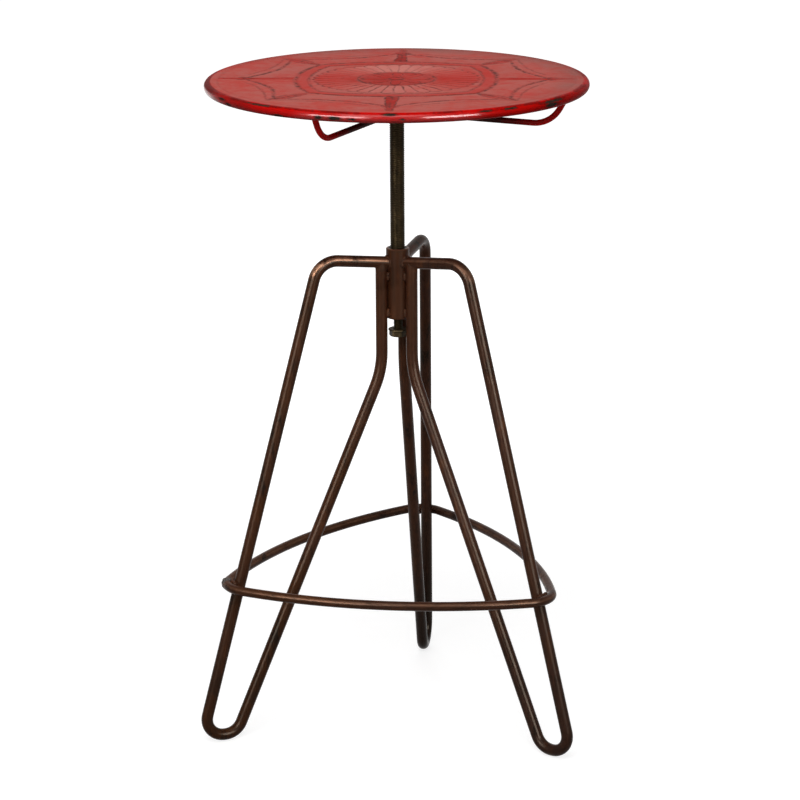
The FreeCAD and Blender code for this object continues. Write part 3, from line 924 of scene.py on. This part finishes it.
def pressed_face(settings):
    """Rows of the face with its rosette, and how near their points are to chips."""
    stretches = []
    start = INMOST_RING
    for end, rings in FACE_STRETCHES:
        stretches.append(np.linspace(start, end * TOP_RADIUS, rings, endpoint=False))
        start = end * TOP_RADIUS
    stretches.append(np.linspace(start, ROLL_REACH, LAST_RINGS))
    radii = np.concatenate(stretches)
    rows = lathe([(radius, TOP_HEIGHT) for radius in radii], settings.columns)
    lines, raised, _, _ = rosette(Arrays(), rows[:, :, 0], rows[:, :, 1])
    pressed = Arrays().fall(BORDER + 0.005, BORDER + 0.020, radii / TOP_RADIUS)[:, None]
    rows[:, :, 2] -= settings.relief * (0.35 + 0.65 * lines - 0.35 * raised * (1 - lines)) * pressed
    tilts = 90 + np.degrees((ROLL_REACH - radii) / ROLL_RADIUS)
    return rows, chip_nearness(rows, tilts)


def rolled_rim(settings):
    """Rows of the rim, dented at its chips, and how near their points are to chips."""
    tilts = np.linspace(90, -180, 28)[1:]
    rows = lathe(roll_profile(ROLL_RADIUS, tilts), settings.columns)
    centres = lathe([(ROLL_REACH, ROLL_HEIGHT)], settings.columns)
    nearness = chip_nearness(rows, tilts)
    dent = settings.chip_depth * Arrays.step(0.0, 0.35, nearness)
    return rows - (rows - centres) / ROLL_RADIUS * dent[:, :, None], nearness


class WINETABLE_OT_top(bpy.types.Operator):
    """Press the round top with its rosette and roll its chipped rim"""

    bl_idname = "wine_table.top"
    bl_label = "Make Top"

    def execute(self, context):
        settings = context.scene.wine_table_top
        face, face_nearness = pressed_face(settings)
        roll, roll_nearness = rolled_rim(settings)
        under = TOP_HEIGHT - SHEET
        inside = roll_profile(ROLL_RADIUS - SHEET, np.linspace(-180, 90, 13))
        underside = [(radius, under) for radius in np.linspace(ROLL_REACH, INMOST_RING, 7)[1:]]
        rows = np.concatenate([face, roll, lathe(inside + underside, settings.columns)])
        skins = [skin(rows, first_cap=face[0].mean(axis=0), last_cap=(0, 0, under))]
        top = piece("pressed_top", skins, red_enamel(settings), "top")
        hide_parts("tabletop")
        marks = np.full(len(top.data.vertices), FAR_FROM_CHIPS)
        nearness = np.concatenate([face_nearness, roll_nearness]).ravel()
        marks[:nearness.size] = nearness
        chip = top.data.attributes.new("chip", "FLOAT", "POINT")
        chip.data.foreach_set("value", marks.astype(np.float32))
        dress(["rim_wire"], bright_wire(settings))
        return {"FINISHED"}


def make_spindle(settings, steel):
    """The screw, bored at its lower end for the bolt."""
    columns = 40
    chamfer = 0.8 * MM
    low, high = SPINDLE_LOW.z, SPINDLE_HIGH.z
    bore = BOLT_SHANK + BOLT_ROOM
    bore_top = BOLT_HIGH.z + 1 * MM
    hole = lathe([(bore, bore_top), (bore, low)], columns)
    thread = threaded_rows(SPINDLE_HIGH.x, settings.depth, settings.pitch, low, high, chamfer, columns)
    rows = np.concatenate([hole, thread])
    skins = [skin(rows, first_cap=(0, 0, bore_top), last_cap=(0, 0, high))]
    spindle = piece("threaded_spindle", skins, steel, "top")
    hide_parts("spindle")


def make_bolt(settings, steel):
    """The chamfered hex head and its threaded shank."""
    columns = 72
    low, high = BOLT_LOW.z, BOLT_HIGH.z
    head_top = WASHER_LOW.z - WASHER_ROOM
    flat = BOLT_HIGH.x * math.cos(math.pi / 6)
    hexagon = flat / np.cos(np.mod(angles_round(columns), math.pi / 3) - math.pi / 6)
    face_radius = flat * 0.94
    bevel = 1 / math.tan(math.radians(30))
    chamfers = [(rise * MM, low + rise * MM) for rise in (0, 0.3, 0.6, 1.0, 1.4)]
    chamfers += [(0.9 * MM, head_top - 0.5 * MM), (0, head_top - 0.1 * MM), (0, head_top)]
    profile = [(np.minimum(hexagon, face_radius + rise * bevel), height) for rise, height in chamfers]
    head = lathe(profile, columns)
    depth, pitch = settings.bolt_depth, settings.bolt_pitch
    shank = threaded_rows(BOLT_SHANK, depth, pitch, head_top, high, 0.0, columns)
    rows = np.concatenate([head, shank])
    skins = [skin(rows, first_cap=(0, 0, low), last_cap=(0, 0, high))]
    bolt = piece("hex_stop_bolt", skins, steel, "top", sharp=25.0)
    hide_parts("stop_bolt")


def make_washer(steel):
    """The loose washer, stamped, with its upper edge rounded most."""
    outer = WASHER_HIGH.x
    low, high = WASHER_LOW.z, WASHER_HIGH.z
    round_off = 0.35 * MM
    profile = [
        (WASHER_HOLE, low + round_off),
        (WASHER_HOLE + round_off, low),
        (outer - 1.2 * MM, low),
        (outer - round_off, low + 0.1 * MM),
        (outer, low + 0.5 * MM),
        (outer, high - 0.8 * MM),
        (outer - 0.3 * MM, high - 0.35 * MM),
        (outer - 0.9 * MM, high - 0.05 * MM),
        (outer - 1.5 * MM, high),
        (WASHER_HOLE + round_off, high),
        (WASHER_HOLE, high - round_off),
    ]
    washer = piece("loose_washer", [skin(lathe(profile, 64), ring=True)], steel, "lift")
    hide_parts("stop_washer")


class WINETABLE_OT_screw(bpy.types.Operator):
    """Cut the spindle's thread, and make its stop bolt and washer"""

    bl_idname = "wine_table.screw"
    bl_label = "Make Screw"

    def execute(self, context):
        settings = context.scene.wine_table_screw
        steel = oiled_steel(settings)
        make_spindle(settings, steel)
        make_bolt(settings, steel)
        make_washer(steel)
        dress(["upper_bush", "lower_bush"], steel)
        return {"FINISHED"}


class WINETABLE_OT_rods(bpy.types.Operator):
    """Lacquer the legs, the foot ring and the sleeve, and paint the braces"""

    bl_idname = "wine_table.rods"
    bl_label = "Finish Rods"

    def execute(self, context):
        settings = context.scene.wine_table_rods
        dress([*LEGS, "sleeve"], frame_lacquer(settings, "frame_lacquer_upright", "upright"))
        dress(["foot_ring"], frame_lacquer(settings, "frame_lacquer_ring", "ring"))
        paint = brace_paint(settings, context.scene.wine_table_top.enamel)
        dress([*ARMS, "top_hub", "mounting_plate"], paint)
        return {"FINISHED"}


def hub_welds(bearing, width, number):
    """A leg's mitred riser, its welds to the bar and the sleeve, and the bar's weld to the sleeve."""
    turn = swing(bearing)
    mitre, seam = riser_end(np.array(turn))
    bar_run = (SHOULDER - BAR_START).normalized()
    bar_seam = post_seam(LEG_ROD, SLEEVE_RADIUS, BAR_START, bar_run, 40)
    skins = [
        mitre,
        bead(seam, width * 0.45, 20 + number, closed=True),
        bead([turn @ p for p in bar_seam], width * 0.7, number, closed=True),
    ]
    for side in (-1, 1):
        for low, high in RISER_RUNS:
            run = []
            for height in np.linspace(low, high, 8):
                run.append(turn @ Vector((RISER_RUN_REACH, side * RISER_RUN_SIDE, height * MM)))
            skins.append(bead(run, width, 10 * number + side + int(low)))
    return skins


def riser_end(turn):
    """The riser's last stretch, shaped to the bar's underside, and the seam round it."""
    sunk = 0.5 * MM
    angles = angles_round(32)
    x = RISER_REACH + LEG_ROD * np.cos(angles)
    y = LEG_ROD * np.sin(angles)
    slope = (SHOULDER.z - BAR_START.z) / (SHOULDER.x - BAR_START.x)
    axis = BAR_START.z + slope * (x - BAR_START.x)
    under = axis - math.hypot(1, slope) * np.sqrt(np.maximum(LEG_ROD ** 2 - y ** 2, 0))
    low = RISER_TOP - sunk
    rows = []
    for share in np.linspace(0, 1, 7):
        rows.append(np.stack([x, y, low + (under + sunk - low) * share], axis=1))
    stretch = np.array(rows) @ turn.T
    seam = np.stack([x, y, under], axis=1) @ turn.T
    inside_bar = turn @ np.array([RISER_REACH, 0, axis.mean()])
    return skin(stretch, first_cap=stretch[0].mean(axis=0), last_cap=inside_bar), seam


def ring_welds(bearing, width, number):
    """Two beads, above and below, where the ring touches a leg."""
    turn = swing(bearing)
    skins = []
    for rise, inset, share in RING_BEADS:
        run = []
        for across in np.linspace(-7.5 * MM, 7.5 * MM, 12):
            away = RING_REACH - inset * MM - across ** 2 / (2 * RING_BEND)
            run.append(turn @ Vector((away, across, RING_HEIGHT + rise * MM)))
        skins.append(bead(run, width * share, 40 + number + int(rise)))
    return skins


def ring_joint(width):
    """The lumpy butt weld where the ring's two ends meet, at the tip of the left corner."""
    out = polar(1, 0, RING_JOINT)
    up = Vector((0, 0, 1))
    collar_radius = RING_ROD - 0.9 * MM
    corner = polar(RING_REACH - RING_BEND, RING_HEIGHT, LEGS["leg_left"][0])
    skins = []
    for number, (shift, lift, share) in enumerate(RING_LUMPS):
        centre = corner + polar(RING_BEND, lift * MM, RING_JOINT) + polar(shift * MM, 0, RING_JOINT + 90)
        collar = loop(centre, collar_radius * out, collar_radius * up, 28)
        skins.append(bead(collar, width * share, 90 + number, closed=True))
    return skins


def arm_welds(bearing, width, number):
    """Beads where a brace meets the rolled rim and the hub."""
    turn = swing(bearing)
    corner = Vector((ARM_CORNER, 0, ARM_HEIGHT))
    rim = Vector((ROLL_REACH - ARM_AIM, 0, ROLL_HEIGHT))
    rise = (rim - corner).normalized()
    side = Vector((0, 1, 0))
    up = rise.cross(side)
    at_rim = loop(rim - 1.6 * MM * rise, ARM_ROD * side, ARM_ROD * up + 1.4 * MM * rise, 24)
    at_hub = post_seam(ARM_ROD, HUB_HIGH.x, Vector((0, 0, ARM_HEIGHT)), Vector((1, 0, 0)), 24)
    return [
        bead([turn @ p for p in at_rim], width * 0.55, 60 + number, closed=True),
        bead([turn @ p for p in at_hub], width * 0.6, 70 + number, closed=True),
    ]


class WINETABLE_OT_welds(bpy.types.Operator):
    """Lay the weld beads where rods meet the sleeve, the ring, the hub and the rim"""

    bl_idname = "wine_table.welds"
    bl_label = "Lay Welds"

    def execute(self, context):
        settings = context.scene.wine_table_rods
        lacquer = frame_lacquer(settings, "frame_lacquer_weld", "weld")
        paint = bpy.data.materials["brace_paint"]
        width = settings.bead
        for number, (leg, (bearing, hub_set)) in enumerate(LEGS.items()):
            skins = hub_welds(bearing + hub_set, width, number)
            weld(f"hub_welds_{leg}", skins, lacquer, "base")
            skins = ring_welds(bearing, width, number)
            weld(f"ring_welds_{leg}", skins, lacquer, "base")
        skins = ring_joint(width)
        weld("ring_joint_weld", skins, weld_scale(settings), "base")
        for number, (arm, bearing) in enumerate(ARMS.items()):
            skins = arm_welds(bearing, width, number)
            weld(f"welds_{arm}", skins, paint, "top")
        reach, height = HUB_HIGH.x + 0.3 * MM, HUB_HIGH.z - 0.9 * MM
        around = [polar(reach, height, bearing) for bearing in range(0, 360, 5)]
        skins = [bead(around, width * 0.7, 80, closed=True)]
        weld("welds_top_hub", skins, paint, "top")
        return {"FINISHED"}


def lay_floor(settings):
    """A round pale floor, white to the camera, that keeps the table's shadow."""
    rings = [(share * FLOOR_REACH, 0.0) for share in (0.05, 0.1, 0.25, 0.5, 1.0)]
    points, faces = skin(lathe(rings, 64), first_cap=(0, 0, 0))
    mesh = bpy.data.meshes.new("studio_floor")
    mesh.from_pydata(points, [], faces)
    made = new_object("studio_floor", mesh)
    material, kit = new_finish("pale_floor")
    away = kit.step(0.4, 1.4, kit.measured_place()[-1])
    lit = kit.node("ShaderNodeBsdfDiffuse", {}, {"Color": settings.floor})
    shaded = kit.node("ShaderNodeBsdfDiffuse", {}, {"Color": settings.shadow})
    glow = kit.node("ShaderNodeEmission", {}, {"Color": kit.blend(away, settings.glow, WHITE)})
    white = kit.node("ShaderNodeAddShader", {}, {0: shaded, 1: glow})
    mixed = kit.node("ShaderNodeMixShader", {}, {0: seen(kit), 1: lit, 2: white})
    kit.node("ShaderNodeOutputMaterial", {}, {"Surface": mixed})
    mesh.materials.append(material)


def seen(kit):
    """1 for what the camera sees, directly, in a gloss or through glass."""
    rays = ("Is Camera Ray", "Is Glossy Ray", "Is Transmission Ray")
    return kit.strongest(*[kit.node("ShaderNodeLightPath", {}, {}, ray) for ray in rays])


def light_surround(scene, settings):
    """White behind the table, and a little light from all round."""
    world = bpy.data.worlds.new("white_surround")
    world.use_nodes = True
    scene.world = world
    kit = Finish(world.node_tree)
    around = kit.node("ShaderNodeBackground", {}, {"Color": WHITE, "Strength": settings.ambient})
    white = kit.node("ShaderNodeBackground", {}, {"Color": WHITE, "Strength": 1.0})
    mixed = kit.node("ShaderNodeMixShader", {}, {0: seen(kit), 1: around, 2: white})
    kit.node("ShaderNodeOutputWorld", {}, {"Surface": mixed})


def hang_lamp(name, power, size, distance, bearing, elevation):
    """A soft lamp at a distance, bearing and elevation from the table's middle, aimed at it."""
    data = bpy.data.lights.new(name, "AREA")
    data.shape = "RECTANGLE"
    data.size, data.size_y = size
    data.energy = power
    made = new_object(name, data)
    made.visible_camera = False
    target = Vector((0, 0, TOP_HEIGHT * 0.6))
    rise = math.radians(elevation)
    made.location = target + polar(distance * math.cos(rise), distance * math.sin(rise), bearing)
    made.rotation_euler = (target - made.location).to_track_quat("-Z", "Y").to_euler()
    return made


def place_camera(scene, settings):
    """The camera, where the photograph was taken from."""
    data = bpy.data.cameras.new("camera")
    data.sensor_width = SENSOR_MM
    data.lens = settings.lens
    made = new_object("camera", data)
    aim = Matrix.Rotation(-CAMERA_YAW, 4, "Z") @ Matrix.Rotation(math.pi / 2 - CAMERA_PITCH, 4, "X")
    made.matrix_world = Matrix.Translation(CAMERA_EYE) @ aim @ Matrix.Rotation(CAMERA_ROLL, 4, "Z")
    scene.camera = made


class WINETABLE_OT_stage(bpy.types.Operator):
    """Set out the pale floor, the soft lamps, the white surround and the camera"""

    bl_idname = "wine_table.stage"
    bl_label = "Set Stage"

    def execute(self, context):
        settings = context.scene.wine_table_stage
        context.scene.view_settings.view_transform = "Standard"
        lay_floor(settings)
        light_surround(context.scene, settings)
        gleam = {"size": (1.5, 1.4), "distance": 2.6, "elevation": 14.0}
        left = hang_lamp("left_gleam", settings.left, bearing=244.0, **gleam)
        right = hang_lamp("right_gleam", settings.right, bearing=310.0, **gleam)
        left.visible_diffuse = False
        right.visible_diffuse = False
        hang_lamp("overhead_softbox", settings.overhead, (1.8, 1.8), 2.7, bearing=268.0, elevation=56.0)
        back = hang_lamp("back_softbox", settings.back, (1.6, 1.2), 2.7, bearing=98.0, elevation=25.0)
        back.visible_glossy = False
        place_camera(context.scene, settings)
        return {"FINISHED"}


class WINETABLE_PT_panel(bpy.types.Panel):
    """Lists the steps of the wine table and what may be changed in each"""

    bl_idname = "WINETABLE_PT_panel"
    bl_label = "Wine Table"
    bl_space_type = "VIEW_3D"
    bl_region_type = "UI"
    bl_category = "Wine Table"

    def draw(self, context):
        for operator, held in STEPS:
            box = self.layout.box()
            box.operator(operator.bl_idname)
            group = getattr(context.scene, held)
            for name in group.bl_rna.properties.keys():
                if name not in ("rna_type", "name"):
                    box.prop(group, name)


SETTINGS = {
    "wine_table_top": TopSettings,
    "wine_table_screw": ScrewSettings,
    "wine_table_rods": RodSettings,
    "wine_table_stage": StageSettings,
}
STEPS = [
    (WINETABLE_OT_top, "wine_table_top"),
    (WINETABLE_OT_screw, "wine_table_screw"),
    (WINETABLE_OT_rods, "wine_table_rods"),
    (WINETABLE_OT_welds, "wine_table_rods"),
    (WINETABLE_OT_stage, "wine_table_stage"),
]
CLASSES = [*SETTINGS.values(), *(operator for operator, _ in STEPS), WINETABLE_PT_panel]


def register():
    for each in CLASSES:
        bpy.utils.register_class(each)
    for name, group in SETTINGS.items():
        setattr(bpy.types.Scene, name, PointerProperty(type=group))


def unregister():
    for name in SETTINGS:
        delattr(bpy.types.Scene, name)
    for each in reversed(CLASSES):
        bpy.utils.unregister_class(each)


def main():
    register()
    bpy.ops.wine_table.top()
    bpy.ops.wine_table.screw()
    bpy.ops.wine_table.rods()
    bpy.ops.wine_table.welds()
    bpy.ops.wine_table.stage()


if __name__ == "__main__":
    main()
